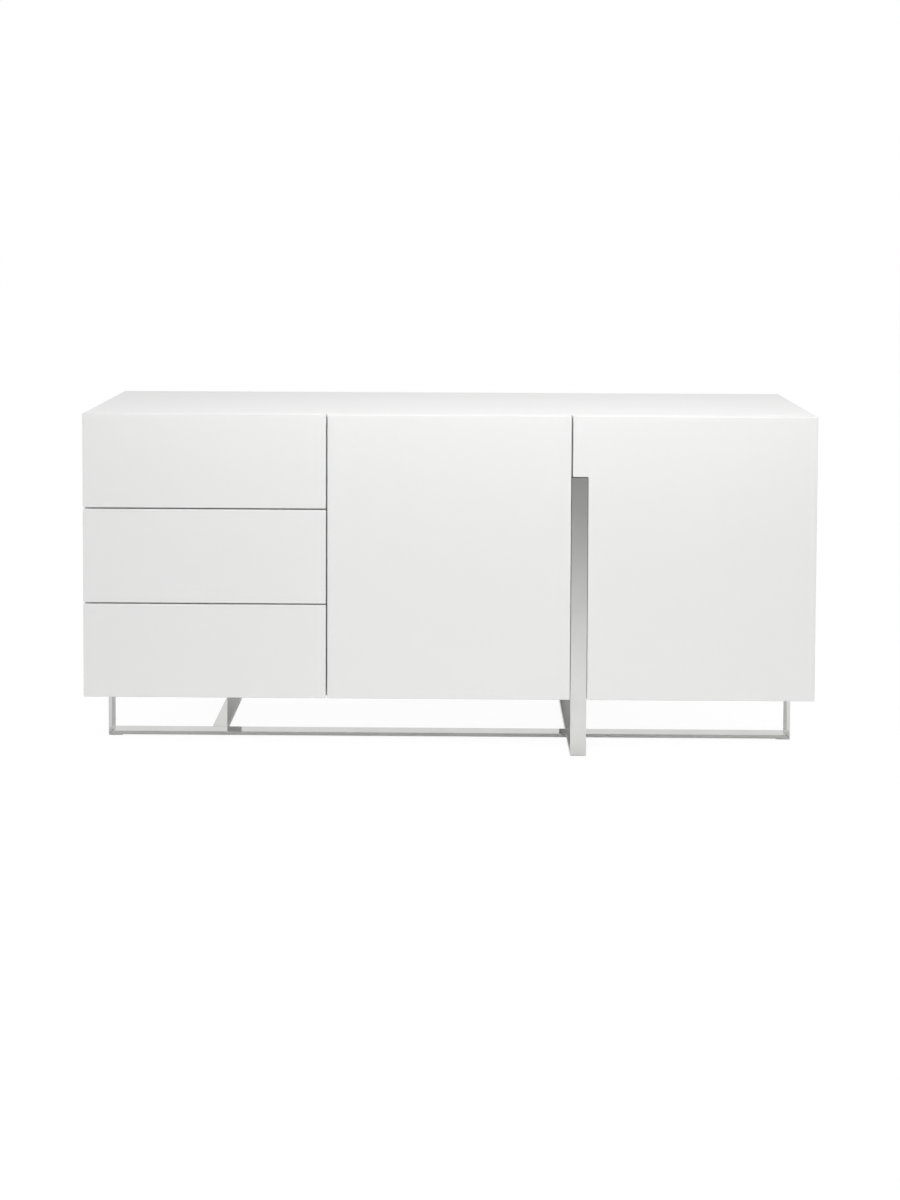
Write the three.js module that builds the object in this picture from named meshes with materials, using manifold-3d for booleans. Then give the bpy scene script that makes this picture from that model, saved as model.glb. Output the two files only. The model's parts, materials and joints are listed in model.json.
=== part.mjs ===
// A low sideboard: a lacquered cabinet with three drawers and two doors on a polished flat-bar base.
// Millimetres, +X right, +Y to the back, +Z up. The origin is on the floor, under the cabinet's centre.
import * as THREE from 'three';
import { mergeVertices } from 'three/addons/utils/BufferGeometryUtils.js';
import Module from 'manifold-3d';

const wasm = await Module();
wasm.setup();

// Overall size
const WIDTH = 1600;
const DEPTH = 420;
const HEIGHT = 748;
const BODY_BASE = 124;     // underside of the cabinet above the floor
const FIT = 0.3;           // gap between pieces that touch

// Cabinet boards
const PANEL = 18;
const TOP = 22;
const BACK = 5;
const BACK_RECESS = 5;     // the back panel sits this far inside the rear edges
const SHELF_Z = 424;
const SHELF_SETBACK = 45;  // shelf front edge behind the fronts' outer face
const SHELF_PLAY = 1;

// Drawer fronts and doors
const FRONT = 19;
const REVEAL = 3;          // gap between neighbouring fronts
const BUFFER = 2;          // gap between the fronts and the cabinet's front edges
const COLUMNS = 3;
const DRAWERS = 3;

// Flat-bar base
const BAR = 35;
const BAR_T = 8;
const GLIDE = 2;
const GLIDE_LENGTH = 31;
const GLIDE_INSET = 1;
const RUNNER_INSET = 28.5; // runner's ends inside the cabinet's sides
const RUNNER_SETBACK = 113.6;
const REAR_LEG_SETBACK = 365;
const LEFT_BAR_X = -541.3; // left edge of the left cross bar
const UPRIGHT_DROP = 135;  // top of the front upright below the cabinet's top
const UPRIGHT_GAP = 1;     // gap round the upright, between the doors
const NOTCH_R = 2.5;
const LUG = 28;
const LUG_HEIGHT = 40;
const LUG_HEIGHTS = [220, 530];
const BACKING_RAIL = 36;

// Drawer boxes and their slides
const BOX_SIDE = 12;
const BOX_BOTTOM = 6;
const BOX_HEIGHT = 140;
const BOX_LENGTH = 350;
const BOX_LIFT = 28;       // box's lower edge above its front's lower edge
const BOTTOM_LIFT = 10;
const SLIDE_SPACE = 13;
const SLIDE_LIFT = 42;     // slide's centre above the box's lower edge
const SLIDE_SETBACK = 23;
const SHEET = 1.5;
const OUTER_RAIL = 45;
const INNER_RAIL = 34;
const RAIL_DEPTH = 10;
const INNER_RAIL_START = 4;

// Concealed hinges and push latches
const CUP_EDGE = 22.5;     // cup's centre from the door's edge
const CUP_R = 17.5;
const CUP_DEPTH = 11.2;
const CUP_WALL = 1.5;
const CUP_FLOOR = 1;
const CUP_PLAY = 0.5;      // room round the cup in the door's pocket
const EARS = [15, 50];     // the cup's screw ears, across and high
const EAR_T = 1;
const HINGE_INSET = 100;   // hinge's centre from the door's top or bottom
const NOSE_FRONT = 10.5;   // tip of the hinge arm behind the door's outer face
const NOSE = [21, 27];     // the arm's nose, from the door's edge
const NOSE_BACK = [24, 26];
const ARM = [2.5, 14];     // the arm's two sides, from the wall
const ARM_BEND = [34, 36];
const ARM_BACK = 62;
const ARM_HEIGHT = 12;
const PLATE = [3, 48];     // mounting plate, thick and high
const PLATE_BACK = [30, 58];
const LATCH_Z = 600;
const LATCH = [10, 56, 16];
const PLUNGER_R = 3.2;
const PLUNGER_LENGTH = 40;
const TIP_R = 4.5;
const TIP_LENGTH = 2.5;

// Places worked out from the sizes above
const LEFT = -WIDTH / 2;
const RIGHT = WIDTH / 2;
const FRONT_Y = -DEPTH / 2;
const BACK_Y = DEPTH / 2;
const FRONT_BACK_Y = FRONT_Y + FRONT;
const CARCASS_Y = FRONT_BACK_Y + BUFFER;
const BACK_PANEL_Y = BACK_Y - BACK_RECESS - BACK;
const INNER_LEFT = LEFT + PANEL;
const INNER_RIGHT = RIGHT - PANEL;
const INNER_BASE = BODY_BASE + PANEL;
const INNER_TOP = HEIGHT - TOP;
const COLUMN = (WIDTH - (COLUMNS - 1) * REVEAL) / COLUMNS;
const SPLIT = (COLUMN + REVEAL) / 2;
const DRAWER_FRONT = (HEIGHT - BODY_BASE - (DRAWERS - 1) * REVEAL) / DRAWERS;
const RUNNER_Y = FRONT_Y + RUNNER_SETBACK;
const REAR_LEG_Y = FRONT_Y + REAR_LEG_SETBACK;
const BAR_TOP = GLIDE + BAR_T;
const LEG_TOP = BODY_BASE - FIT;
const UPRIGHT_X = COLUMN / 2 + UPRIGHT_GAP;
const UPRIGHT_TOP = HEIGHT - UPRIGHT_DROP;
const HINGE_HEIGHTS = { lower: BODY_BASE + HINGE_INSET, upper: HEIGHT - HINGE_INSET };

const FINISHES = {
  lacquer: { color: 0xf1f1ef, roughness: 0.28, metalness: 0 },
  board: { color: 0xe9e9e6, roughness: 0.45, metalness: 0 },
  liner: { color: 0xd9d7d2, roughness: 0.6, metalness: 0 },
  steel: { color: 0xc9cac8, roughness: 0.08, metalness: 1 },
  zinc: { color: 0xb4b7b8, roughness: 0.32, metalness: 1 },
  nylon: { color: 0xe2e2de, roughness: 0.5, metalness: 0 },
};

const sideboard = new THREE.Group();

function add(name, geometry, finish) {
  const mesh = new THREE.Mesh(geometry, new THREE.MeshStandardMaterial(FINISHES[finish]));
  mesh.name = name;
  sideboard.add(mesh);
  return mesh;
}

// A box given by its lowest and highest value along each axis.
function block([x0, x1], [y0, y1], [z0, z1]) {
  const geometry = new THREE.BoxGeometry(x1 - x0, y1 - y0, z1 - z0);
  return geometry.translate((x0 + x1) / 2, (y0 + y1) / 2, (z0 + z1) / 2);
}

function outline(points) {
  return new THREE.Shape(points.map(([a, b]) => new THREE.Vector2(a, b)));
}

function extrude(shape, depth) {
  return new THREE.ExtrudeGeometry(shape, { depth, bevelEnabled: false, curveSegments: 6 });
}

// A shape drawn in plan, seen from above, standing between two heights.
function standing(points, z0, z1) {
  return extrude(outline(points), z1 - z0).translate(0, 0, z0);
}

// A shape drawn in front view (x, z), running back from y0 to y1.
function runningBack(shape, y0, y1) {
  return extrude(shape, y1 - y0).rotateX(Math.PI / 2).translate(0, y1, 0);
}

// A shape drawn in side view (y, z), running across from x0 to x1.
function runningAcross(points, x0, x1) {
  const across = new THREE.Matrix4().makeBasis(
    new THREE.Vector3(0, 1, 0), new THREE.Vector3(0, 0, 1), new THREE.Vector3(1, 0, 0));
  return extrude(outline(points), x1 - x0).applyMatrix4(across).translate(x0, 0, 0);
}

function disc(radius, x, z, y0, y1, sides = 32) {
  return new THREE.CylinderGeometry(radius, radius, y1 - y0, sides).translate(x, (y0 + y1) / 2, z);
}

function toSolid(geometry) {
  const bare = geometry.clone();
  bare.deleteAttribute('normal');
  bare.deleteAttribute('uv');
  const merged = mergeVertices(bare, 1e-4);
  return new wasm.Manifold(new wasm.Mesh({
    numProp: 3,
    vertProperties: merged.attributes.position.array,
    triVerts: Uint32Array.from(merged.index.array),
  }));
}

function toGeometry(solid) {
  const mesh = solid.getMesh();
  const geometry = new THREE.BufferGeometry();
  geometry.setAttribute('position', new THREE.BufferAttribute(mesh.vertProperties, 3));
  geometry.setIndex(new THREE.BufferAttribute(mesh.triVerts, 1));
  geometry.computeVertexNormals();
  return geometry;
}

function join(...pieces) {
  return toGeometry(pieces.map(toSolid).reduce((all, piece) => all.add(piece)));
}

function cut(piece, ...tools) {
  return toGeometry(tools.map(toSolid).reduce((rest, tool) => rest.subtract(tool), toSolid(piece)));
}

function makeCarcass() {
  const deep = [CARCASS_Y, BACK_Y];
  const between = [INNER_LEFT + FIT, INNER_RIGHT - FIT];
  const inside = [INNER_BASE + FIT, INNER_TOP - FIT];
  const toBack = [CARCASS_Y, BACK_PANEL_Y - FIT];
  add('top_panel', block([LEFT, RIGHT], deep, [INNER_TOP, HEIGHT]), 'lacquer');
  add('left_side_panel', block([LEFT, INNER_LEFT], deep, [BODY_BASE, INNER_TOP - FIT]), 'lacquer');
  add('right_side_panel', block([INNER_RIGHT, RIGHT], deep, [BODY_BASE, INNER_TOP - FIT]), 'lacquer');
  add('bottom_panel', block(between, deep, [BODY_BASE, INNER_BASE]), 'lacquer');
  add('back_panel', block(between, [BACK_PANEL_Y, BACK_PANEL_Y + BACK], inside), 'board');
  for (const [name, x] of [['left_divider', -SPLIT], ['right_divider', SPLIT]]) {
    add(name, block([x - PANEL / 2, x + PANEL / 2], toBack, inside), 'board');
  }
  const railX = SPLIT + PANEL / 2 + FIT;
  const railDeep = [CARCASS_Y, CARCASS_Y + PANEL];
  add('upright_backing_rail', block([railX, railX + BACKING_RAIL], railDeep, inside), 'board');
}

function makeShelves() {
  const deep = [FRONT_Y + SHELF_SETBACK, BACK_PANEL_Y - SHELF_PLAY];
  const high = [SHELF_Z, SHELF_Z + PANEL];
  const halfDivider = PANEL / 2 + SHELF_PLAY;
  add('middle_shelf', block([-SPLIT + halfDivider, SPLIT - halfDivider], deep, high), 'board');
  add('right_shelf', block([SPLIT + halfDivider, INNER_RIGHT - SHELF_PLAY], deep, high), 'board');
}

// The runner: a bar across the floor with a leg up at each end, mitred at both corners.
function makeRunner() {
  const half = RIGHT - RUNNER_INSET;
  const mitre = FIT / Math.SQRT2;
  const y1 = RUNNER_Y + BAR;
  const bar = outline([[-half + mitre, GLIDE], [half - mitre, GLIDE],
    [half - BAR_T - mitre, BAR_TOP], [-half + BAR_T + mitre, BAR_TOP]]);
  add('runner_bar', runningBack(bar, RUNNER_Y, y1), 'steel');
  const right = outline([[half, GLIDE + mitre], [half, LEG_TOP], [half - BAR_T, LEG_TOP],
    [half - BAR_T, BAR_TOP + mitre]]);
  add('runner_right_leg', runningBack(right, RUNNER_Y, y1), 'steel');
  const left = outline([[-half, GLIDE + mitre], [-half + BAR_T, BAR_TOP + mitre], [-half + BAR_T, LEG_TOP],
    [-half, LEG_TOP]]);
  add('runner_left_leg', runningBack(left, RUNNER_Y, y1), 'steel');
}

// A bar along the floor from the runner to a rear leg, mitred where the leg turns up.
function makeRearArm(x, barName, legName) {
  const mitre = FIT / Math.SQRT2;
  const start = RUNNER_Y + BAR + FIT;
  const end = REAR_LEG_Y + BAR_T;
  const bar = [[start, GLIDE], [end - mitre, GLIDE], [REAR_LEG_Y - mitre, BAR_TOP], [start, BAR_TOP]];
  add(barName, runningAcross(bar, x, x + BAR), 'steel');
  const leg = [[end, GLIDE + mitre], [end, LEG_TOP], [REAR_LEG_Y, LEG_TOP], [REAR_LEG_Y, BAR_TOP + mitre]];
  add(legName, runningAcross(leg, x, x + BAR), 'steel');
}

// The upright between the doors, with two lugs behind it, and the floor bar from its foot to the runner.
function makeUpright() {
  const x1 = UPRIGHT_X + BAR;
  const back = FRONT_Y + BAR_T;
  const mitre = FIT / Math.SQRT2;
  const side = [[FRONT_Y, GLIDE + mitre], [back, BAR_TOP + mitre], [back, UPRIGHT_TOP],
    [FRONT_Y, UPRIGHT_TOP]];
  const middle = UPRIGHT_X + BAR / 2;
  const lugs = LUG_HEIGHTS.map((z) => block([middle - LUG / 2, middle + LUG / 2],
    [back - 1, CARCASS_Y - FIT], [z - LUG_HEIGHT / 2, z + LUG_HEIGHT / 2]));
  add('front_upright', join(runningAcross(side, UPRIGHT_X, x1), ...lugs), 'steel');
  const end = RUNNER_Y - FIT;
  const bar = [[FRONT_Y + mitre, GLIDE], [end, GLIDE], [end, BAR_TOP], [back + mitre, BAR_TOP]];
  add('right_front_cross_bar', runningAcross(bar, UPRIGHT_X, x1), 'steel');
}

function makeGlides() {
  const high = [0, GLIDE - FIT];
  const end = RIGHT - RUNNER_INSET;
  const runnerDeep = [RUNNER_Y + GLIDE_INSET, RUNNER_Y + BAR - GLIDE_INSET];
  add('runner_left_glide', block([-end, -end + GLIDE_LENGTH], runnerDeep, high), 'nylon');
  add('runner_right_glide', block([end - GLIDE_LENGTH, end], runnerDeep, high), 'nylon');
  const rearEnd = REAR_LEG_Y + BAR_T - GLIDE_INSET;
  const rearDeep = [rearEnd - GLIDE_LENGTH, rearEnd];
  const underBar = (x) => [x + GLIDE_INSET, x + BAR - GLIDE_INSET];
  add('left_rear_glide', block(underBar(LEFT_BAR_X), rearDeep, high), 'nylon');
  add('right_rear_glide', block(underBar(UPRIGHT_X), rearDeep, high), 'nylon');
  const foot = FRONT_Y + GLIDE_INSET;
  add('upright_glide', block(underBar(UPRIGHT_X), [foot, foot + GLIDE_LENGTH], high), 'nylon');
}

// A channel in front view, drawn from the wall it is fixed to: `inward` is +1 or -1 along X.
function channel(wall, inward, zMiddle, [open, web], height) {
  const half = height / 2;
  const lip = half - SHEET;
  const inner = web > open ? web - SHEET : web + SHEET;
  const corners = [[web, -half], [web, half], [open, half], [open, lip], [inner, lip],
    [inner, -lip], [open, -lip], [open, -half]];
  const placed = corners.map(([a, b]) => [wall + inward * a, zMiddle + b]);
  return outline(placed);
}

function makeSlide(name, side, wall, inward, z) {
  const start = FRONT_Y + SLIDE_SETBACK;
  const outer = channel(wall, inward, z, [FIT + RAIL_DEPTH, FIT], OUTER_RAIL);
  add(`${name}_${side}_cabinet_rail`, runningBack(outer, start, start + BOX_LENGTH), 'zinc');
  const inner = channel(wall, inward, z, [INNER_RAIL_START, SLIDE_SPACE - FIT], INNER_RAIL);
  const boxStart = FRONT_BACK_Y + FIT;
  add(`${name}_${side}_drawer_rail`, runningBack(inner, boxStart + BUFFER, boxStart + BOX_LENGTH), 'zinc');
}

// One drawer: its front, a box of two sides and a back folded from one board, a bottom and two slides.
function makeDrawer(name, row) {
  const z = BODY_BASE + row * (DRAWER_FRONT + REVEAL);
  const wallLeft = INNER_LEFT;
  const wallRight = -SPLIT - PANEL / 2;
  const x0 = wallLeft + SLIDE_SPACE;
  const x1 = wallRight - SLIDE_SPACE;
  const y0 = FRONT_BACK_Y + FIT;
  const y1 = y0 + BOX_LENGTH;
  const boxZ = z + BOX_LIFT;
  const frontDeep = [FRONT_Y, FRONT_BACK_Y];
  add(`${name}_front`, block([LEFT, LEFT + COLUMN], frontDeep, [z, z + DRAWER_FRONT]), 'lacquer');
  const insideBack = y1 - BOX_SIDE;
  const folded = [[x0, y0], [x0 + BOX_SIDE, y0], [x0 + BOX_SIDE, insideBack], [x1 - BOX_SIDE, insideBack],
    [x1 - BOX_SIDE, y0], [x1, y0], [x1, y1], [x0, y1]];
  add(`${name}_box`, standing(folded, boxZ, boxZ + BOX_HEIGHT), 'liner');
  const edge = BOX_SIDE + FIT;
  add(`${name}_bottom`, block([x0 + edge, x1 - edge], [y0, y1 - edge],
    [boxZ + BOTTOM_LIFT, boxZ + BOTTOM_LIFT + BOX_BOTTOM]), 'liner');
  makeSlide(name, 'left', wallLeft, 1, boxZ + SLIDE_LIFT);
  makeSlide(name, 'right', wallRight, -1, boxZ + SLIDE_LIFT);
}

// A concealed hinge, drawn from the door's outer edge: `inward` is +1 or -1 along X.
function makeHinge(name, edgeX, inward, wallX, z) {
  const span = (...across) => across.map((a) => edgeX + inward * a).sort((p, q) => p - q);
  const cupX = edgeX + inward * CUP_EDGE;
  const backFace = FRONT_BACK_Y + FIT;
  const mouth = backFace + EAR_T;
  const cupFront = FRONT_BACK_Y - CUP_DEPTH;
  const body = disc(CUP_R, cupX, z, cupFront, mouth);
  const [earWidth, earHeight] = EARS;
  const ears = block([cupX - earWidth / 2, cupX + earWidth / 2], [backFace, mouth],
    [z - earHeight / 2, z + earHeight / 2]);
  const hollow = disc(CUP_R - CUP_WALL, cupX, z, cupFront + CUP_FLOOR, mouth + CUP_DEPTH);
  add(`${name}_cup`, cut(join(body, ears), hollow), 'zinc');

  const wall = Math.abs(wallX - edgeX) + FIT;
  const [outer, inner] = ARM.map((offset) => wall + offset);
  const corners = [[outer, ARM_BACK], [outer, ARM_BEND[0]], [NOSE[0], NOSE_BACK[0]], [NOSE[0], NOSE_FRONT],
    [NOSE[1], NOSE_FRONT], [NOSE[1], NOSE_BACK[1]], [inner, ARM_BEND[1]], [inner, ARM_BACK]];
  const placed = corners.map(([across, back]) => [edgeX + inward * across, FRONT_Y + back]);
  const arm = standing(placed, z - ARM_HEIGHT / 2, z + ARM_HEIGHT / 2);
  const [plateT, plateHeight] = PLATE;
  const plate = block(span(wall, wall + plateT), PLATE_BACK.map((back) => FRONT_Y + back),
    [z - plateHeight / 2, z + plateHeight / 2]);
  add(`${name}_arm`, join(arm, plate), 'zinc');
}

// The doors' back faces have a round pocket for each hinge cup.
function drilled(door, edgeX, inward) {
  const pockets = Object.values(HINGE_HEIGHTS).map((z) => disc(CUP_R + CUP_PLAY, edgeX + inward * CUP_EDGE, z,
    FRONT_BACK_Y - CUP_DEPTH - CUP_PLAY, FRONT_BACK_Y + CUP_DEPTH));
  return cut(door, ...pockets);
}

function makeDoors() {
  const half = COLUMN / 2;
  const middle = block([-half, half], [FRONT_Y, FRONT_BACK_Y], [BODY_BASE, HEIGHT]);
  add('middle_door', drilled(middle, -half, 1), 'lacquer');

  const upperEdge = half + REVEAL;
  const notchX = UPRIGHT_X + BAR + UPRIGHT_GAP;
  const notchZ = UPRIGHT_TOP + UPRIGHT_GAP;
  const shape = new THREE.Shape();
  shape.moveTo(notchX, BODY_BASE);
  shape.lineTo(RIGHT, BODY_BASE);
  shape.lineTo(RIGHT, HEIGHT);
  shape.lineTo(upperEdge, HEIGHT);
  shape.lineTo(upperEdge, notchZ);
  shape.absarc(notchX - NOTCH_R, notchZ - NOTCH_R, NOTCH_R, Math.PI / 2, 0, true);
  add('right_door', drilled(runningBack(shape, FRONT_Y, FRONT_BACK_Y), RIGHT, -1), 'lacquer');

  for (const [level, z] of Object.entries(HINGE_HEIGHTS)) {
    makeHinge(`middle_${level}_hinge`, -half, 1, -SPLIT + PANEL / 2, z);
    makeHinge(`right_${level}_hinge`, RIGHT, -1, INNER_RIGHT, z);
  }
}

// A push latch: a housing inside the cabinet and a plunger that rests on the closed door's back.
function makeLatch(name, x0) {
  const [width, length, height] = LATCH;
  const x = x0 + width / 2;
  const front = CARCASS_Y + BUFFER;
  const tip = FRONT_BACK_Y + FIT;
  const high = [LATCH_Z - height / 2, LATCH_Z + height / 2];
  const housing = block([x0, x0 + width], [front, front + length], high);
  const bore = disc(PLUNGER_R + FIT, x, LATCH_Z, tip, tip + PLUNGER_LENGTH + BUFFER, 24);
  add(`${name}_latch_housing`, cut(housing, bore), 'nylon');
  const stem = disc(PLUNGER_R, x, LATCH_Z, tip + TIP_LENGTH / 2, tip + PLUNGER_LENGTH, 24);
  const head = disc(TIP_R, x, LATCH_Z, tip, tip + TIP_LENGTH, 24);
  add(`${name}_latch_plunger`, join(stem, head), 'nylon');
}

makeCarcass();
makeShelves();
makeRunner();
makeRearArm(LEFT_BAR_X, 'left_cross_bar', 'left_rear_leg');
makeRearArm(UPRIGHT_X, 'right_rear_cross_bar', 'right_rear_leg');
makeUpright();
makeGlides();
['bottom_drawer', 'middle_drawer', 'top_drawer'].forEach(makeDrawer);
makeDoors();
makeLatch('middle', SPLIT - PANEL / 2 - FIT - LATCH[0]);
makeLatch('right', SPLIT + PANEL / 2 + 2 * FIT + BACKING_RAIL);

export default sideboard;
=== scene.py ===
import json
import math

import bmesh
import bpy
from mathutils import Matrix, Vector


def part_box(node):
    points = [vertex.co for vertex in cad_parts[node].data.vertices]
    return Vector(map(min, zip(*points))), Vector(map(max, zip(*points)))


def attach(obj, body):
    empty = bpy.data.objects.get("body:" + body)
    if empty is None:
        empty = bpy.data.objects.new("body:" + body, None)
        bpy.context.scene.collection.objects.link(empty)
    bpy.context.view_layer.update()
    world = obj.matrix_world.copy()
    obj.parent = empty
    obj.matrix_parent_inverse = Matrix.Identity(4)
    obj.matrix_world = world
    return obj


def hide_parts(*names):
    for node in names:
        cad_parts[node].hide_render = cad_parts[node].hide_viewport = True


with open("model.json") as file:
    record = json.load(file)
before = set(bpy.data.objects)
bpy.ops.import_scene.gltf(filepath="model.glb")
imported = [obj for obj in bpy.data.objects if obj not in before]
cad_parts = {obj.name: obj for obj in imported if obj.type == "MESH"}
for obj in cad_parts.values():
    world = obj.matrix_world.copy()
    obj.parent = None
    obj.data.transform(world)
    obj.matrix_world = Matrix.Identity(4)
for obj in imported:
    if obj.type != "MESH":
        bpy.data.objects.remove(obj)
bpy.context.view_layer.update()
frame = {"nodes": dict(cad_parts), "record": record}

MM = 0.001
CABINET = "cabinet"
DRAWERS = ("bottom_drawer", "middle_drawer", "top_drawer")
DOORS = ("middle", "right")
SIDES = ("left", "right")
LEVELS = ("lower", "upper")
FRONT_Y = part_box("middle_door")[0].y  # the fronts' outer faces
GAP = 0.3 * MM                        # what the CAD keeps between pieces that touch

NODE_SLOTS = {row["node"]: row["material_slot"] for row in frame["record"]["subparts"]}
NODE_BODIES = {
    node: body for body, nodes in frame["record"]["behaviour"]["bodies"].items() for node in nodes
}


# ---------------------------------------------------------------- materials


NOISE_RANGE = (0.3, 0.7)  # where nearly all of a noise's values lie
WEAVE_RANGE = (0.8, 1.2)  # the same for the sum of two noises
THREAD = 0.12             # how much slower the weave changes along a thread than across it


def new_material(name):
    material = bpy.data.materials.new(name)
    material.use_nodes = True
    tree = material.node_tree
    shader = next(n for n in tree.nodes if n.type == "BSDF_PRINCIPLED")
    return material, tree, shader


def noise(tree, scale, detail=2.0, stretch=(1, 1, 1)):
    """Noise in the object's own coordinates; the result is the node's Fac output."""
    place = tree.nodes.new("ShaderNodeTexCoord")
    mapping = tree.nodes.new("ShaderNodeMapping")
    mapping.inputs["Scale"].default_value = stretch
    texture = tree.nodes.new("ShaderNodeTexNoise")
    texture.inputs["Scale"].default_value = scale
    texture.inputs["Detail"].default_value = detail
    tree.links.new(place.outputs["Object"], mapping.inputs["Vector"])
    tree.links.new(mapping.outputs["Vector"], texture.inputs["Vector"])
    return texture.outputs["Fac"]


def ramp(tree, source, low, high, between=NOISE_RANGE):
    """Maps a value's range onto the range from low to high, and stops at both ends."""
    node = tree.nodes.new("ShaderNodeMapRange")
    node.inputs["From Min"].default_value = between[0]
    node.inputs["From Max"].default_value = between[1]
    node.inputs["To Min"].default_value = low
    node.inputs["To Max"].default_value = high
    tree.links.new(source, node.inputs["Value"])
    return node.outputs["Result"]


def tint(tree, source, dark, light, between=NOISE_RANGE):
    """Mixes two colours, by where a value lies in its range."""
    node = tree.nodes.new("ShaderNodeMix")
    node.data_type = "RGBA"
    node.inputs["A"].default_value = (*dark, 1)
    node.inputs["B"].default_value = (*light, 1)
    tree.links.new(ramp(tree, source, 0, 1, between), node.inputs["Factor"])
    return node.outputs["Result"]


def math_node(tree, operation, *values):
    """A maths node; each value is a number or another node's output."""
    node = tree.nodes.new("ShaderNodeMath")
    node.operation = operation
    for socket, value in zip(node.inputs, values):
        if isinstance(value, (int, float)):
            socket.default_value = value
        else:
            tree.links.new(value, socket)
    return node.outputs["Value"]


def mixed(tree, factor, low, high):
    """low where factor is 0, high where it is 1."""
    node = tree.nodes.new("ShaderNodeMix")
    node.data_type = "FLOAT"
    tree.links.new(factor, node.inputs["Factor"])
    for name, value in (("A", low), ("B", high)):
        if isinstance(value, (int, float)):
            node.inputs[name].default_value = value
        else:
            tree.links.new(value, node.inputs[name])
    return node.outputs["Result"]


def bump(tree, shader, height, distance, strength):
    node = tree.nodes.new("ShaderNodeBump")
    node.inputs["Distance"].default_value = distance
    node.inputs["Strength"].default_value = strength
    tree.links.new(height, node.inputs["Height"])
    tree.links.new(node.outputs["Normal"], shader.inputs["Normal"])


def lacquer_material():
    """Sprayed satin-gloss lacquer: a very fine orange peel and a faint cloudiness."""
    material, tree, shader = new_material("white_lacquer")
    cloud = noise(tree, scale=1.5)
    white = tint(tree, cloud, dark=(0.868, 0.868, 0.863), light=(0.876, 0.876, 0.871))
    tree.links.new(white, shader.inputs["Base Color"])
    tree.links.new(ramp(tree, noise(tree, scale=3), low=0.285, high=0.295), shader.inputs["Roughness"])
    shader.inputs["Coat Weight"].default_value = 0.25
    shader.inputs["Coat Roughness"].default_value = 0.15
    bump(tree, shader, noise(tree, scale=160, detail=0), distance=0.01 * MM, strength=0.3)
    return material


def steel_material():
    """Mirror-polished stainless: a faint haze, and hairline polishing marks that run along Z."""
    material, tree, shader = new_material("polished_steel")
    haze = noise(tree, scale=14, detail=4)
    grey = tint(tree, haze, dark=(0.70, 0.70, 0.69), light=(0.74, 0.74, 0.73))
    tree.links.new(grey, shader.inputs["Base Color"])
    shader.inputs["Metallic"].default_value = 1.0
    hairlines = noise(tree, scale=300, stretch=(1, 1, 0.04))
    tree.links.new(ramp(tree, hairlines, low=0.035, high=0.075), shader.inputs["Roughness"])
    return material


def board_material():
    """Matt white melamine with its printed-paper grain."""
    material, tree, shader = new_material("white_melamine")
    grain = noise(tree, scale=90, detail=4)
    white = tint(tree, grain, dark=(0.762, 0.762, 0.75), light=(0.778, 0.778, 0.765))
    tree.links.new(white, shader.inputs["Base Color"])
    tree.links.new(ramp(tree, noise(tree, scale=60), low=0.44, high=0.5), shader.inputs["Roughness"])
    bump(tree, shader, noise(tree, scale=900), distance=0.05 * MM, strength=0.5)
    return material


def liner_material():
    """Pale grey foil with a fine linen emboss, inside the drawers."""
    material, tree, shader = new_material("grey_foil")
    normal = tree.nodes.new("ShaderNodeNewGeometry")
    facing = tree.nodes.new("ShaderNodeSeparateXYZ")
    tree.links.new(normal.outputs["Normal"], facing.inputs["Vector"])
    end_wall = math_node(tree, "ABSOLUTE", facing.outputs["Y"])
    warp = noise(tree, scale=700, detail=1, stretch=(1, THREAD, 1))
    weft = noise(tree, scale=700, detail=1, stretch=(THREAD, 1, THREAD))
    weft_on_ends = noise(tree, scale=700, detail=1, stretch=(THREAD, 1, 1))
    weave = math_node(tree, "ADD", warp, mixed(tree, end_wall, weft, weft_on_ends))
    grey = tint(tree, weave, dark=(0.55, 0.54, 0.51), light=(0.66, 0.65, 0.62), between=WEAVE_RANGE)
    tree.links.new(grey, shader.inputs["Base Color"])
    tree.links.new(ramp(tree, noise(tree, scale=30), low=0.5, high=0.62), shader.inputs["Roughness"])
    bump(tree, shader, weave, distance=0.08 * MM, strength=0.6)
    return material


def zinc_material():
    """Rolled, bright zinc-plated strip: drawn lines that run along Y, and a slight mottle."""
    material, tree, shader = new_material("zinc_plate")
    mottle = noise(tree, scale=55, detail=4)
    grey = tint(tree, mottle, dark=(0.57, 0.58, 0.59), light=(0.64, 0.65, 0.66))
    tree.links.new(grey, shader.inputs["Base Color"])
    shader.inputs["Metallic"].default_value = 1.0
    drawn = noise(tree, scale=900, stretch=(1, 0.03, 1))
    tree.links.new(ramp(tree, drawn, low=0.24, high=0.34), shader.inputs["Roughness"])
    bump(tree, shader, drawn, distance=0.03 * MM, strength=0.5)
    return material


def nylon_material():
    """Moulded natural nylon."""
    material, tree, shader = new_material("white_nylon")
    flow = noise(tree, scale=120, detail=3)
    white = tint(tree, flow, dark=(0.66, 0.66, 0.63), light=(0.74, 0.74, 0.71))
    tree.links.new(white, shader.inputs["Base Color"])
    tree.links.new(ramp(tree, noise(tree, scale=400), low=0.38, high=0.55), shader.inputs["Roughness"])
    bump(tree, shader, noise(tree, scale=1500, detail=1), distance=0.04 * MM, strength=0.5)
    return material


MATERIALS = {
    "lacquer": lacquer_material(),
    "steel": steel_material(),
    "board": board_material(),
    "liner": liner_material(),
    "zinc": zinc_material(),
    "nylon": nylon_material(),
}


# ---------------------------------------------------------------- stage


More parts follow.
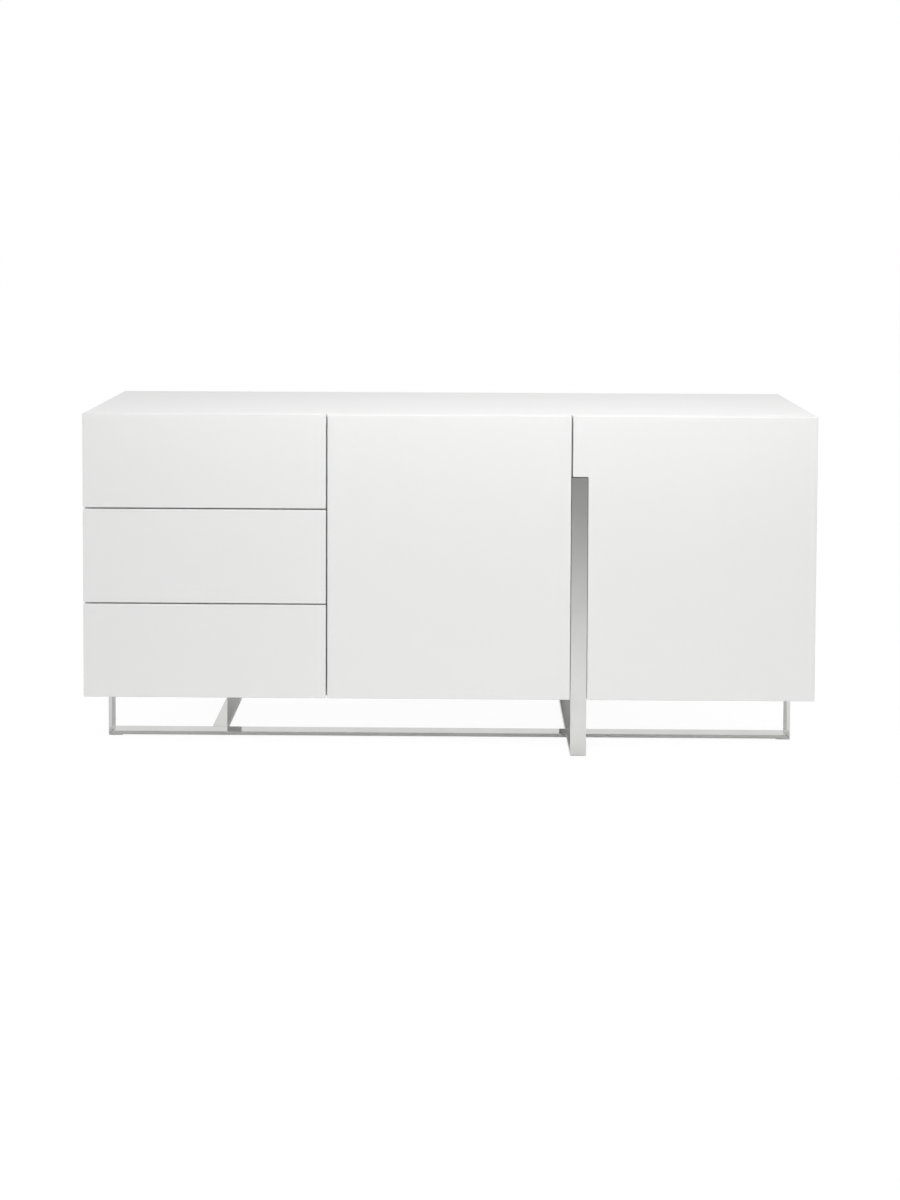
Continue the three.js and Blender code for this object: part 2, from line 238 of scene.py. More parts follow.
CAMERA_PLACE = (0.026, -3.4828, 1.1877)
CAMERA_TURN = (87.8355, -0.233, 0.4698)  # degrees
CAMERA_LENS = 45.4
CAMERA_SHIFT = -0.275
CAMERA_CLIP = (0.05, 200)
FLOOR_HALF = 30
FLOOR_DROP = 0.5 * MM    # below the glides, so that the two never share a plane
FLOOR_SHADE_FADE = 8.0         # metres in front of the cabinet over which the floor's colour in reflections falls to 1/e: painted shade for light that falls off with distance
FLOOR_SHOWN = 0.93       # what the camera sees of the floor: this much light of its own,
FLOOR_SHADOW = 0.12      # and this much that shadows can take away
SKY = 0.53
FRONT_WALL = 0.28        # behind the camera
BACK_WALL = 0.85
SIDE_WALLS = 0.8
SKY_BAND = (0.35, 0.6)   # how far up a direction points where the walls turn into the sky
BACK_BAND = (-0.2, 0.2)  # the same along Y, from the front wall to the back wall
SIDE_BAND = (0.5, 0.8)   # and along X, from those two to the side walls
SOFTBOXES = {            # place, target, size and watts
    "key": ((0.2, -0.9, 1.65), (0.1, -0.2, 0.5), (2.0, 0.3), 13.2),
    "left_fill": ((-2.2, -1.8, 1.3), (0, 0, 0.5), (1.2, 1.2), 6.7),
    "right_fill": ((2.2, -1.8, 1.3), (0, 0, 0.5), (1.2, 1.2), 6.4),
}


def make_camera():
    camera = bpy.data.objects.new("camera", bpy.data.cameras.new("camera"))
    bpy.context.scene.collection.objects.link(camera)
    camera.location = CAMERA_PLACE
    camera.rotation_euler = [math.radians(a) for a in CAMERA_TURN]
    camera.data.lens = CAMERA_LENS
    camera.data.shift_y = CAMERA_SHIFT
    camera.data.clip_start, camera.data.clip_end = CAMERA_CLIP
    bpy.context.scene.camera = camera


def camera_choice(tree, seen, otherwise):
    """One shader for what the camera sees directly, another for what lights and reflects."""
    path = tree.nodes.new("ShaderNodeLightPath")
    choice = tree.nodes.new("ShaderNodeMixShader")
    tree.links.new(path.outputs["Is Camera Ray"], choice.inputs["Fac"])
    tree.links.new(otherwise, choice.inputs[1])
    tree.links.new(seen, choice.inputs[2])
    return choice.outputs["Shader"]


def make_floor():
    """A pale floor. It shows white with a faint shadow, and in reflections its colour darkens further out:
    painted shade for light that falls off with distance.
    """
    mesh = bpy.data.meshes.new("floor")
    corners = [(x * FLOOR_HALF, y * FLOOR_HALF, 0) for x, y in ((-1, -1), (1, -1), (1, 1), (-1, 1))]
    mesh.from_pydata(corners, [], [(0, 1, 2, 3)])
    floor = bpy.data.objects.new("floor", mesh)
    bpy.context.scene.collection.objects.link(floor)
    floor.location.z = -FLOOR_DROP

    material = bpy.data.materials.new("floor")
    material.use_nodes = True
    tree = material.node_tree
    tree.nodes.clear()
    place = tree.nodes.new("ShaderNodeNewGeometry")
    axes = tree.nodes.new("ShaderNodeSeparateXYZ")
    tree.links.new(place.outputs["Position"], axes.inputs["Vector"])
    ahead = math_node(tree, "MINIMUM", math_node(tree, "SUBTRACT", axes.outputs["Y"], FRONT_Y), 0)
    # painted shade: the colour that reflections see darkens with distance ahead of the cabinet, standing in
    # for the light's fall-off
    grey = math_node(tree, "EXPONENT", math_node(tree, "DIVIDE", ahead, FLOOR_SHADE_FADE))
    lit = tree.nodes.new("ShaderNodeBsdfDiffuse")
    tree.links.new(grey, lit.inputs["Color"])
    white = tree.nodes.new("ShaderNodeEmission")
    white.inputs["Strength"].default_value = FLOOR_SHOWN
    pale = tree.nodes.new("ShaderNodeBsdfDiffuse")
    pale.inputs["Color"].default_value = (FLOOR_SHADOW, FLOOR_SHADOW, FLOOR_SHADOW, 1)
    seen = tree.nodes.new("ShaderNodeAddShader")
    tree.links.new(white.outputs["Emission"], seen.inputs[0])
    tree.links.new(pale.outputs["BSDF"], seen.inputs[1])
    output = tree.nodes.new("ShaderNodeOutputMaterial")
    surface = camera_choice(tree, seen.outputs["Shader"], lit.outputs["BSDF"])
    tree.links.new(surface, output.inputs["Surface"])
    mesh.materials.append(material)


def background(tree, strength):
    node = tree.nodes.new("ShaderNodeBackground")
    node.inputs["Color"].default_value = (1, 1, 1, 1)
    if isinstance(strength, (int, float)):
        node.inputs["Strength"].default_value = strength
    else:
        tree.links.new(strength, node.inputs["Strength"])
    return node.outputs["Background"]


def make_world():
    """White to the eye. It lights as a studio: a dim wall behind the camera, bright ones elsewhere."""
    world = bpy.data.worlds.new("studio")
    bpy.context.scene.world = world
    world.use_nodes = True
    tree = world.node_tree
    tree.nodes.clear()
    place = tree.nodes.new("ShaderNodeTexCoord")
    axes = tree.nodes.new("ShaderNodeSeparateXYZ")
    tree.links.new(place.outputs["Generated"], axes.inputs["Vector"])
    to_back = ramp(tree, axes.outputs["Y"], 0, 1, BACK_BAND)
    upward = ramp(tree, axes.outputs["Z"], 0, 1, SKY_BAND)
    to_side = ramp(tree, math_node(tree, "ABSOLUTE", axes.outputs["X"]), 0, 1, SIDE_BAND)
    walls = mixed(tree, to_side, mixed(tree, to_back, FRONT_WALL, BACK_WALL), SIDE_WALLS)
    light = mixed(tree, upward, walls, SKY)
    output = tree.nodes.new("ShaderNodeOutputWorld")
    surface = camera_choice(tree, background(tree, 1.0), background(tree, light))
    tree.links.new(surface, output.inputs["Surface"])


def make_softbox(name, location, target, size, watts):
    light = bpy.data.lights.new(name, "AREA")
    light.shape = "RECTANGLE"
    light.size, light.size_y = size
    light.energy = watts
    box = bpy.data.objects.new(name, light)
    bpy.context.scene.collection.objects.link(box)
    box.location = location
    box.rotation_euler = (Vector(target) - Vector(location)).to_track_quat("-Z", "Y").to_euler()
    box.visible_camera = False
    box.visible_glossy = False


def make_stage():
    bpy.context.scene.view_settings.view_transform = "Standard"
    make_camera()
    make_floor()
    make_world()
    for name, (location, target, size, watts) in SOFTBOXES.items():
        make_softbox(name, location, target, size, watts)


# ---------------------------------------------------------------- mesh helpers


SHARP = 30             # degrees between two faces, above which the edge between them is rounded
VERY_SHARP = 60
MERGE = 1e-5           # metres; the CAD mesh's shared corners lie this close
FLAT = 0.5             # degrees between triangles of one flat face
ARC = 0.5              # the bevel profile of a circular arc
FINE_SEGMENTS = 2
OUTER_SEGMENTS = 4
ROUND = 24             # sides of a turned piece
PAN_HEIGHT = 0.62      # of a screw head, as a share of its radius
FLAT_HEIGHT = 0.22
HEAD = ((1, 0), (1, 0.45), (0.9, 0.8), (0.7, 1))  # the head's shape, in shares of its radius and height
SLOT_WIDTH = 0.24      # half of it, as a share of the cross-slot's reach
SLOT_MOUTH = 0.55      # the cross-slot's reach at its top and at its floor, as shares of the head's radius
SLOT_FLOOR = 0.45
SLOT_BOTTOM = 0.12     # the height of its floor, as a share of the head's


def piece(name, bm, body, slot):
    """Turns a bmesh into a piece that rides on a body, with smooth shading that keeps flat faces flat."""
    for face in bm.faces:
        face.smooth = True
    mesh = bpy.data.meshes.new(name)
    bm.to_mesh(mesh)
    bm.free()
    mesh.materials.append(MATERIALS[slot])
    made = bpy.data.objects.new(name, mesh)
    bpy.context.scene.collection.objects.link(made)
    made.modifiers.new("even_normals", "WEIGHTED_NORMAL")
    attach(made, body)
    return made


def sharp_edges(bm, degrees=SHARP):
    limit = math.radians(degrees)
    return [e for e in bm.edges if len(e.link_faces) == 2 and e.calc_face_angle(0) > limit]


def soften(bm, radius, segments=3, edges=None):
    """Rounds the given edges, or every sharp edge."""
    chosen = sharp_edges(bm) if edges is None else edges
    bmesh.ops.bevel(bm, geom=chosen, offset=radius, segments=segments, profile=ARC, affect="EDGES",
                    clamp_overlap=True)


def cad_bmesh(node):
    """The CAD node's own shape, with shared vertices and whole flat faces."""
    bm = bmesh.new()
    bm.from_mesh(frame["nodes"][node].data)
    bmesh.ops.remove_doubles(bm, verts=bm.verts, dist=MERGE)
    bmesh.ops.dissolve_limit(bm, angle_limit=math.radians(FLAT), verts=bm.verts, edges=bm.edges)
    return bm


def finish_node(node, radius, outer_radius=None, is_outer=None):
    """The node's shape with its edges rounded, shown in place of the node. Outer edges may be rounder."""
    bm = cad_bmesh(node)
    if is_outer:
        soften(bm, outer_radius, OUTER_SEGMENTS, [e for e in sharp_edges(bm) if is_outer(e)])
        soften(bm, radius, FINE_SEGMENTS, sharp_edges(bm, VERY_SHARP))
    else:
        soften(bm, radius)
    made = piece(f"{node}_finished", bm, NODE_BODIES[node], NODE_SLOTS[node])
    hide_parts(node)


def to_axis(axis):
    """A turn that takes +Z to the given axis."""
    return Vector((0, 0, 1)).rotation_difference(Vector(axis)).to_matrix().to_4x4()


def add_prism(bm, outline, along, length):
    """A closed outline of 3-D points, swept along a direction."""
    face = bm.faces.new([bm.verts.new(point) for point in outline])
    swept = bmesh.ops.extrude_face_region(bm, geom=[face])
    moved = [v for v in swept["geom"] if isinstance(v, bmesh.types.BMVert)]
    bmesh.ops.translate(bm, verts=moved, vec=Vector(along).normalized() * length)
    bmesh.ops.recalc_face_normals(bm, faces=bm.faces)


def add_rings(bm, place, rings):
    """Joins rings of points, each a list of (x, y, z) with the same count, and closes both ends."""
    made = [[bm.verts.new(place @ Vector(point)) for point in ring] for ring in rings]
    count = len(made[0])
    for below, above in zip(made, made[1:]):
        for i in range(count):
            j = (i + 1) % count
            bm.faces.new((below[i], below[j], above[j], above[i]))
    bm.faces.new(list(reversed(made[0])))
    bm.faces.new(made[-1])


def circle(radius, z):
    """A ring of points; its first point lies half a step before +X."""
    angles = [math.tau * (i - 0.5) / ROUND for i in range(ROUND)]
    return [(radius * math.cos(a), radius * math.sin(a), z) for a in angles]


def add_turned(bm, at, axis, profile):
    """A turned piece: its profile is a list of (radius, height) along the axis."""
    place = Matrix.Translation(at) @ to_axis(axis)
    add_rings(bm, place, [circle(radius, height) for radius, height in profile])


def cross_slot(radius, z):
    """The outline of a cross-slot, with as many points as circle() and in step with them."""
    slot = radius * SLOT_WIDTH
    quarter = [(radius, -slot), (radius, 0), (radius, slot), ((radius + slot) / 2, slot), (slot, slot),
               (slot, (radius + slot) / 2)]
    points = []
    for turn in range(4):
        cos = math.cos(turn * math.pi / 2)
        sin = math.sin(turn * math.pi / 2)
        points += [(x * cos - y * sin, x * sin + y * cos, z) for x, y in quarter]
    return points


def add_screw(bm, at, axis, radius, flat=False):
    """The head of a cross-slot screw standing on a surface; a flat one is countersunk and just proud."""
    height = radius * (FLAT_HEIGHT if flat else PAN_HEIGHT)
    place = Matrix.Translation(at) @ to_axis(axis)
    rings = [circle(radius * r, height * h) for r, h in HEAD]
    rings.append(cross_slot(radius * SLOT_MOUTH, height))
    rings.append(cross_slot(radius * SLOT_FLOOR, height * SLOT_BOTTOM))
    add_rings(bm, place, rings)


def middle(node):
    low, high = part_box(node)
    return (low + high) / 2


# ---------------------------------------------------------------- the CAD pieces, finished


EDGE_RADII = {  # millimetres
    "lacquer": 2.2,
    "board": 0.6,
    "liner": 0.8,
    "steel": 0.7,
    "zinc": 0.3,
    "nylon": 0.4,
}
CARCASS = ("top_panel", "left_side_panel", "right_side_panel", "bottom_panel")
CARCASS_ARRIS = 1.6 * MM
FINE_BREAK = 0.3 * MM   # at the carcass's joints and the rims of the doors' hinge pockets
CUP_POCKET = 19 * MM    # from a cup's middle, past its pocket's rim
TOUCH = 0.05 * MM       # an edge this close to the carcass's box lies on it


def carcass_box():
    """The lowest and highest corners of the four boards together."""
    corners = [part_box(node) for node in CARCASS]
    low = [min(c[0][i] for c in corners) for i in range(3)]
    high = [max(c[1][i] for c in corners) for i in range(3)]
    return low, high


def on_arris(edge):
    """True where an edge runs along an outer edge of the whole carcass."""
    low, high = carcass_box()
    planes = 0
    for i in range(3):
        for limit in (low[i], high[i]):
            planes += all(abs(v.co[i] - limit) < TOUCH for v in edge.verts)
    return planes >= 2


def away_from_cups(edge):
    """False for the rims of the doors' hinge pockets."""
    centre = (edge.verts[0].co + edge.verts[1].co) / 2
    for door in DOORS:
        for level in LEVELS:
            cup = middle(f"{door}_{level}_hinge_cup")
            if math.hypot(centre.x - cup.x, centre.z - cup.z) < CUP_POCKET:
                return False
    return True


def finish_nodes():
    """Finishes every CAD piece but the hinge arms, which make_hinge_arm() replaces."""
    for node, slot in NODE_SLOTS.items():
        radius = EDGE_RADII[slot] * MM
        if node.endswith("_hinge_arm"):
            continue
        if node in CARCASS:
            finish_node(node, FINE_BREAK, CARCASS_ARRIS, on_arris)
        elif node in ("middle_door", "right_door"):
            finish_node(node, FINE_BREAK, radius, away_from_cups)
        else:
            finish_node(node, radius)


# ---------------------------------------------------------------- drawer slides


CAGE_START = 28 * MM                   # behind the fronts' outer faces
CAGE_LENGTH = 56 * MM
CAGE_WEB = (2.4 * MM, 3.1 * MM)        # its two faces, from the wall that the slide is screwed to
CAGE_DEPTH = 9.4 * MM                  # how far its flanges reach from that wall
CAGE_FLANGES = (18.6 * MM, 19.4 * MM)  # their inner and outer faces, from the slide's middle
BALL_R = 1.9 * MM
BALL_PLACE = 7.4 * MM                  # from the wall
BALLS = 6                              # in each of a cage's two rows
RAIL_WEB = 1.8 * MM                    # from the wall to the web's inner face
RAIL_SCREWS = (0.25, 0.55, 0.92)       # shares of the rail's length
RAIL_SCREW_R = 3.4 * MM


def rail_wall(drawer, side):
    """Where a slide's wall is, and which way the drawer lies from it."""
    low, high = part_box(f"{drawer}_{side}_cabinet_rail")
    return (low.x - GAP, 1) if side == "left" else (high.x + GAP, -1)


def make_ball_cage(drawer, side):
    """The cage stays between the two rails at every extension; its balls show above and below."""
    wall, inward = rail_wall(drawer, side)
    rail = middle(f"{drawer}_{side}_cabinet_rail")
    start = FRONT_Y + CAGE_START
    web0, web1 = (wall + inward * d for d in CAGE_WEB)
    flange_end = wall + inward * CAGE_DEPTH
    inner, outer = CAGE_FLANGES
    outline = [(web0, -outer), (web0, outer), (flange_end, outer), (flange_end, inner), (web1, inner),
               (web1, -inner), (flange_end, -inner), (flange_end, -outer)]
    bm = bmesh.new()
    add_prism(bm, [(x, start, rail.z + z) for x, z in outline], (0, 1, 0), CAGE_LENGTH)
    piece(f"{drawer}_{side}_ball_cage", bm, CABINET, "zinc")
    balls = bmesh.new()
    pitch = CAGE_LENGTH / BALLS
    for row in (-1, 1):
        for i in range(BALLS):
            height = rail.z + row * (inner + outer) / 2
            at = (wall + inward * BALL_PLACE, start + (i + 0.5) * pitch, height)
            bmesh.ops.create_icosphere(balls, subdivisions=2, radius=BALL_R, matrix=Matrix.Translation(at))
    piece(f"{drawer}_{side}_balls", balls, CABINET, "steel")


def make_rail_screws(drawer, side):
    wall, inward = rail_wall(drawer, side)
    low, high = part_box(f"{drawer}_{side}_cabinet_rail")
    bm = bmesh.new()
    for share in RAIL_SCREWS:
        at = (wall + inward * RAIL_WEB, low.y + share * (high.y - low.y), (low.z + high.z) / 2)
        add_screw(bm, at, (inward, 0, 0), RAIL_SCREW_R, flat=True)
    piece(f"{drawer}_{side}_rail_screws", bm, CABINET, "zinc")


# ---------------------------------------------------------------- drawers


BOX_SIDE = 12 * MM
BRACKET_T = 1.5 * MM
BRACKET_EDGE = 0.3 * MM
BRACKET_ARMS = (16 * MM, 26 * MM)      # along the front, and back along the box side
BRACKET_HEIGHTS = (34 * MM, 112 * MM)  # above the box's lower edge
BRACKET_SCREWS = (0.6, 0.7)            # shares of the two arms
BRACKET_SCREW_INSET = 12 * MM          # from the bracket's two ends
BRACKET_SCREW_R = 3 * MM
BUMPER_R = 3.2 * MM
BUMPER_T = 1.6 * MM
BUMPER_START = 0.05 * MM               # clear of the face that it is stuck to
BUMPER_DOME = ((1, 0.4), (0.86, 0.75), (0.55, 0.94), (0.2, 1))  # shares of its radius and thickness
DRAWER_BUMPERS = (0.2, 0.8)            # shares of the front's height


def make_front_brackets(drawer):
    """An angle bracket in each front corner of the box holds the front on."""
    low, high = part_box(f"{drawer}_box")
    z0, z1 = (low.z + h for h in BRACKET_HEIGHTS)
    back = low.y + GAP
    brackets = bmesh.new()
    screws = bmesh.new()
    across, deep = BRACKET_ARMS
    corners = [(0, 0), (across, 0), (across, BRACKET_T), (BRACKET_T, BRACKET_T), (BRACKET_T, deep), (0, deep)]
    for side_x, inward in ((low.x + BOX_SIDE + GAP, 1), (high.x - BOX_SIDE - GAP, -1)):
        outline = [(side_x + inward * a, back + d, z0) for a, d in corners]
        add_prism(brackets, outline, (0, 0, 1), z1 - z0)
        front_x = side_x + inward * across * BRACKET_SCREWS[0]
        side_y = back + deep * BRACKET_SCREWS[1]
        for z in (z0 + BRACKET_SCREW_INSET, z1 - BRACKET_SCREW_INSET):
            add_screw(screws, (front_x, back + BRACKET_T, z), (0, 1, 0), BRACKET_SCREW_R)
            add_screw(screws, (side_x + inward * BRACKET_T, side_y, z), (inward, 0, 0), BRACKET_SCREW_R)
    soften(brackets, BRACKET_EDGE, FINE_SEGMENTS)
    piece(f"{drawer}_front_brackets", brackets, drawer, "zinc")
    piece(f"{drawer}_bracket_screws", screws, drawer, "zinc")


def make_bumpers(name, body, back_y, places):
    """Domes that cushion a closing front against the cabinet's edges."""
    profile = [(BUMPER_R, BUMPER_START)] + [(BUMPER_R * r, BUMPER_T * t) for r, t in BUMPER_DOME]
    bm = bmesh.new()
    for x, z in places:
        add_turned(bm, (x, back_y, z), (0, 1, 0), profile)
    piece(name, bm, body, "nylon")


def make_drawer_bumpers(drawer):
    low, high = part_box(f"{drawer}_front")
    heights = [low.z + share * (high.z - low.z) for share in DRAWER_BUMPERS]
    side = middle("left_side_panel").x
    divider = high.x - BUMPER_R - GAP
    places = [(x, z) for x in (side, divider) for z in heights]
    make_bumpers(f"{drawer}_bumpers", drawer, high.y, places)


# ---------------------------------------------------------------- doors


POLE = (5 * MM, 5 * MM)                # the hinge's axis: in from the door's edge, back from its outer face
LINK_RADII = (12.2 * MM, 15.2 * MM)    # the link bends round that axis
LINK_ANGLES = (24, 70)                 # degrees, from along the door towards straight back
LINK_STEPS = 8
LINK_HEIGHT = 9 * MM
LINK_EDGE = 0.25 * MM
CUP_SCREW_RISE = 21 * MM               # above and below the hinge's middle
CUP_SCREW_R = 3 * MM
ARM_SIDES = (2.5 * MM, 14 * MM)        # the channel's rim and web, from the wall
ARM_NOSE = (21 * MM, 27 * MM)          # the same at the nose, from the door's edge
ARM_BENDS = (25 * MM, 35 * MM)         # behind the fronts: between these it crosses to the wall
ARM_HEIGHT = 12 * MM
ARM_SHEET = 1.3 * MM
ARM_EDGE = 0.35 * MM
ADJUSTERS = (42 * MM, 54 * MM)         # behind the fronts
ADJUSTER_R = 2.7 * MM
PLATE_T = 3 * MM
PLATE_BACK = (30 * MM, 58 * MM)        # behind the fronts
PLATE_WAIST = 17 * MM                  # the width of its two wings, narrower than behind the arm
PLATE_SHOULDERS = (0.28, 0.5, 0.86)    # shares of its half height: full width, wing's width, cut corners
PLATE_CROWN = 0.6                      # the wing's tip, as a share of the wing's width
PLATE_SCREW = (44 * MM, 17 * MM)       # behind the fronts, and above and below the hinge's middle
PLATE_SCREW_R = 3.4 * MM
DOOR_BUMPER_INSET = 30 * MM            # from the divider's two ends
LATCH_SCREWS = (0.3, 0.82)             # shares of the housing's length
LATCH_SCREW_R = 2.6 * MM


def hinge_place(door, level):
    """The door's hinge edge, which way the door lies from it, and the cup's middle."""
    cup = middle(f"{door}_{level}_hinge_cup")
    low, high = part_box(f"{door}_door")
    edge, inward = (low.x, 1) if cup.x < (low.x + high.x) / 2 else (high.x, -1)
    return edge, inward, cup


def make_hinge_arm(door, level):
    """A stamped channel from the cup to the wall, on a winged mounting plate."""
    node = f"{door}_{level}_hinge_arm"
    edge, inward, cup = hinge_place(door, level)
    low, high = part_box(node)
    wall = low.x if inward > 0 else high.x
    nose_bend, wall_bend = ARM_BENDS
    at_wall = [abs(wall - edge) + distance for distance in ARM_SIDES]
    stations = ((low.y - FRONT_Y, ARM_NOSE), (nose_bend, ARM_NOSE), (wall_bend, at_wall),
                (high.y - FRONT_Y, at_wall))
    half = ARM_HEIGHT / 2
    under = half - ARM_SHEET
    rings = []
    for back, (rim, web) in stations:
        inner = web - ARM_SHEET
        channel = [(web, -half), (web, half), (rim, half), (rim, under), (inner, under), (inner, -under),
                   (rim, -under), (rim, -half)]
        rings.append([(edge + inward * across, FRONT_Y + back, cup.z + z) for across, z in channel])
    bm = bmesh.new()
    add_rings(bm, Matrix.Identity(4), rings)

    top = (high.z - low.z) / 2
    centre = sum(PLATE_BACK) / 2
    waist = PLATE_WAIST / 2
    full, narrow, cut = (share * top for share in PLATE_SHOULDERS)
    corner = [(PLATE_BACK[1] - centre, full), (waist, narrow), (waist, cut), (waist * PLATE_CROWN, top)]
    wing = corner + [(-back, z) for back, z in reversed(corner)]
    wing += [(-back, -z) for back, z in wing]
    outline = [(wall, FRONT_Y + centre + back, cup.z + z) for back, z in wing]
    add_prism(bm, outline, (inward, 0, 0), PLATE_T)
    soften(bm, ARM_EDGE, FINE_SEGMENTS)
    made = piece(f"{node}_pressed", bm, CABINET, "zinc")
    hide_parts(node)


def make_hinge_link(door, level):
    """The bent link that shows in the open cup."""
    edge, inward, cup = hinge_place(door, level)
    start, stop = LINK_ANGLES
    arc = [math.radians(start + (stop - start) * i / LINK_STEPS) for i in range(LINK_STEPS + 1)]
    inner_r, outer_r = LINK_RADII
    inner = [(inner_r * math.cos(a), inner_r * math.sin(a)) for a in arc]
    outer = [(outer_r * math.cos(a), outer_r * math.sin(a)) for a in reversed(arc)]
    outline = [(edge + inward * (POLE[0] + a), FRONT_Y + POLE[1] + b, cup.z - LINK_HEIGHT / 2)
               for a, b in inner + outer]
    link = bmesh.new()
    add_prism(link, outline, (0, 0, 1), LINK_HEIGHT)
    soften(link, LINK_EDGE, FINE_SEGMENTS)
    piece(f"{door}_{level}_hinge_link", link, NODE_BODIES[f"{door}_door"], "zinc")


def make_hinge_screws(door, level):
    """The cup's two screws ride on the door; the plate's two and the arm's two stay on the cabinet."""
    name = f"{door}_{level}_hinge"
    inward, cup = hinge_place(door, level)[1:]
    ear_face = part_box(f"{name}_cup")[1].y
    ears = bmesh.new()
    for sign in (-1, 1):
        add_screw(ears, (cup.x, ear_face, cup.z + sign * CUP_SCREW_RISE), (0, 1, 0), CUP_SCREW_R)
    piece(f"{name}_cup_screws", ears, NODE_BODIES[f"{door}_door"], "zinc")

    low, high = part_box(f"{name}_arm")
    wall = low.x if inward > 0 else high.x
    plate = bmesh.new()
    back, rise = PLATE_SCREW
    for sign in (-1, 1):
        at = (wall + inward * PLATE_T, FRONT_Y + back, cup.z + sign * rise)
        add_screw(plate, at, (inward, 0, 0), PLATE_SCREW_R)
    piece(f"{name}_plate_screws", plate, CABINET, "zinc")

    arm = bmesh.new()
    arm_face = wall + inward * ARM_SIDES[1]
    for back in ADJUSTERS:
        add_screw(arm, (arm_face, FRONT_Y + back, cup.z), (inward, 0, 0), ADJUSTER_R)
    piece(f"{name}_adjusting_screws", arm, CABINET, "zinc")


def make_door_bumpers():
    """Each door has two near its free edge, and the right door's lower one lands on the backing rail."""
    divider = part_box("right_divider")
    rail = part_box("upright_backing_rail")
    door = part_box("middle_door")
    low_z = divider[0].z + DOOR_BUMPER_INSET
    high_z = divider[1].z - DOOR_BUMPER_INSET
    closing = door[1].x - BUMPER_R - GAP
    make_bumpers("middle_door_bumpers", "middle_door", door[1].y, [(closing, low_z), (closing, high_z)])
    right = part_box("right_door")
    places = [(rail[1].x - BUMPER_R - GAP, low_z), (right[0].x + BUMPER_R + GAP, high_z)]
    make_bumpers("right_door_bumpers", "right_door", right[1].y, places)


def make_latch_screws(door):
    """Two screws hold each latch's housing from its open side."""
    low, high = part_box(f"{door}_latch_housing")
    face, inward = (low.x, -1) if door == "middle" else (high.x, 1)
    bm = bmesh.new()
    for share in LATCH_SCREWS:
        at = (face, low.y + share * (high.y - low.y), (low.z + high.z) / 2)
        add_screw(bm, at, (inward, 0, 0), LATCH_SCREW_R)
    piece(f"{door}_latch_screws", bm, CABINET, "zinc")


# ---------------------------------------------------------------- cabinet


PIN_R = 2.5 * MM
COLLAR_R = 3.75 * MM
PIN_CLEAR = 0.1 * MM                # from the wall and from the shelf
PIN_PROFILE = ((COLLAR_R, PIN_CLEAR), (COLLAR_R, 1.1 * MM), (PIN_R, 1.2 * MM), (PIN_R, 7.5 * MM),
               (2 * MM, 8 * MM))    # radius, and distance from the wall
PIN_INSET = 38 * MM                 # from the shelf's front and back edges
LEGS = ("runner_left_leg", "runner_right_leg", "left_rear_leg", "right_rear_leg")
BOLT_OFFSETS = (-1 * MM, 11 * MM)   # along a leg's width, clear of the divider beside the right rear leg
BOLT_R = 4.6 * MM
LUG_HEIGHTS = (220 * MM, 530 * MM)
LUG_SCREW_STEP = 10 * MM            # above and below each lug's middle
LUG_SCREW_R = 3.8 * MM
BACK_SCREW_SPACING = 170 * MM
BACK_SCREW_INSET = 9 * MM
BACK_SCREW_R = 3.6 * MM


def make_shelf_pins(shelf, left_wall, right_wall):
    """Four pins with collars, just under the shelf."""
    low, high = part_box(shelf)
    z = low.z - PIN_CLEAR - COLLAR_R
    bm = bmesh.new()
    for y in (low.y + PIN_INSET, high.y - PIN_INSET):
        add_turned(bm, (left_wall, y, z), (1, 0, 0), PIN_PROFILE)
        add_turned(bm, (right_wall, y, z), (-1, 0, 0), PIN_PROFILE)
    piece(f"{shelf}_pins", bm, CABINET, "steel")


def make_leg_bolts():
    """Bolt heads on the bottom board, above the ends of the legs."""
    floor_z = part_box("bottom_panel")[1].z
    for leg in LEGS:
        low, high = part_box(leg)
        along = Vector((0, 1, 0)) if high.y - low.y > high.x - low.x else Vector((1, 0, 0))
        bm = bmesh.new()
        for offset in BOLT_OFFSETS:
            at = Vector(((low.x + high.x) / 2, (low.y + high.y) / 2, floor_z)) + along * offset
            add_screw(bm, at, (0, 0, 1), BOLT_R)
        piece(f"{leg}_bolts", bm, CABINET, "zinc")


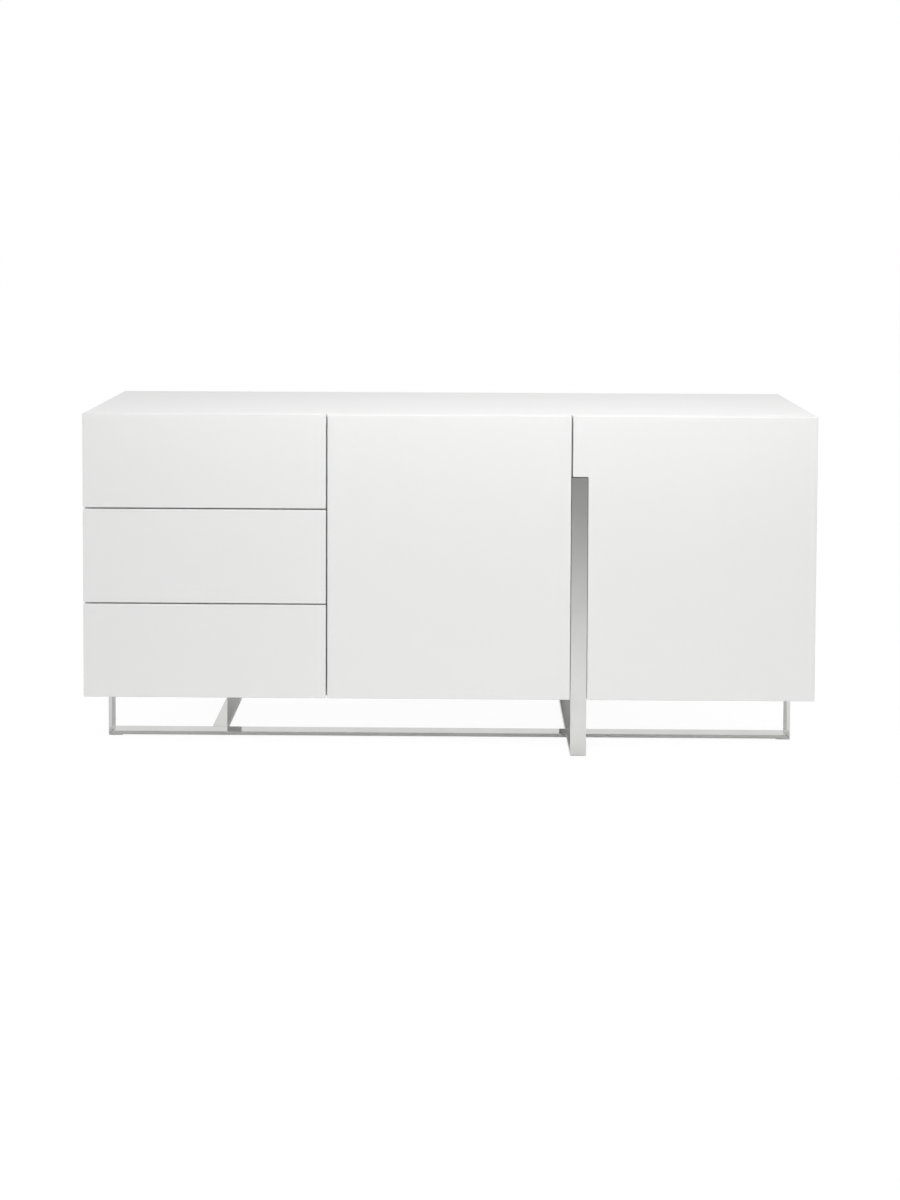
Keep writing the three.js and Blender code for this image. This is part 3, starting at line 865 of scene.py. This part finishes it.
def make_lug_screws():
    """Screws through the backing rail into the upright's two lugs."""
    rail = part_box("upright_backing_rail")[1]
    x = middle("front_upright").x
    bm = bmesh.new()
    for height in LUG_HEIGHTS:
        for step in (-LUG_SCREW_STEP, LUG_SCREW_STEP):
            add_screw(bm, (x, rail.y, height + step), (0, 1, 0), LUG_SCREW_R)
    piece("upright_lug_screws", bm, CABINET, "zinc")


def spread(start, stop, spacing):
    """Even places from start to stop, about a spacing apart."""
    count = max(1, round((stop - start) / spacing))
    return [start + (stop - start) * i / count for i in range(count + 1)]


def make_back_screws():
    """Screws round the back panel's edge and down both dividers."""
    low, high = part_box("back_panel")
    x0 = low.x + BACK_SCREW_INSET
    x1 = high.x - BACK_SCREW_INSET
    z0 = low.z + BACK_SCREW_INSET
    z1 = high.z - BACK_SCREW_INSET
    uprights = (x0, middle("left_divider").x, middle("right_divider").x, x1)
    places = [(x, z) for x in uprights for z in spread(z0, z1, BACK_SCREW_SPACING)]
    for start, stop in zip(uprights, uprights[1:]):
        between = spread(start, stop, BACK_SCREW_SPACING)[1:-1]
        places += [(x, z) for x in between for z in (z0, z1)]
    bm = bmesh.new()
    for x, z in places:
        add_screw(bm, (x, high.y, z), (0, 1, 0), BACK_SCREW_R, flat=True)
    piece("back_panel_screws", bm, CABINET, "zinc")


# ---------------------------------------------------------------- assembly


finish_nodes()
for drawer_name in DRAWERS:
    for side_name in SIDES:
        make_ball_cage(drawer_name, side_name)
        make_rail_screws(drawer_name, side_name)
    make_front_brackets(drawer_name)
    make_drawer_bumpers(drawer_name)
for door_name in DOORS:
    for level_name in LEVELS:
        make_hinge_arm(door_name, level_name)
        make_hinge_link(door_name, level_name)
        make_hinge_screws(door_name, level_name)
    make_latch_screws(door_name)
make_door_bumpers()
make_shelf_pins("middle_shelf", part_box("left_divider")[1].x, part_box("right_divider")[0].x)
make_shelf_pins("right_shelf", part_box("right_divider")[1].x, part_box("right_side_panel")[0].x)
make_leg_bolts()
make_lug_screws()
make_back_screws()
make_stage()
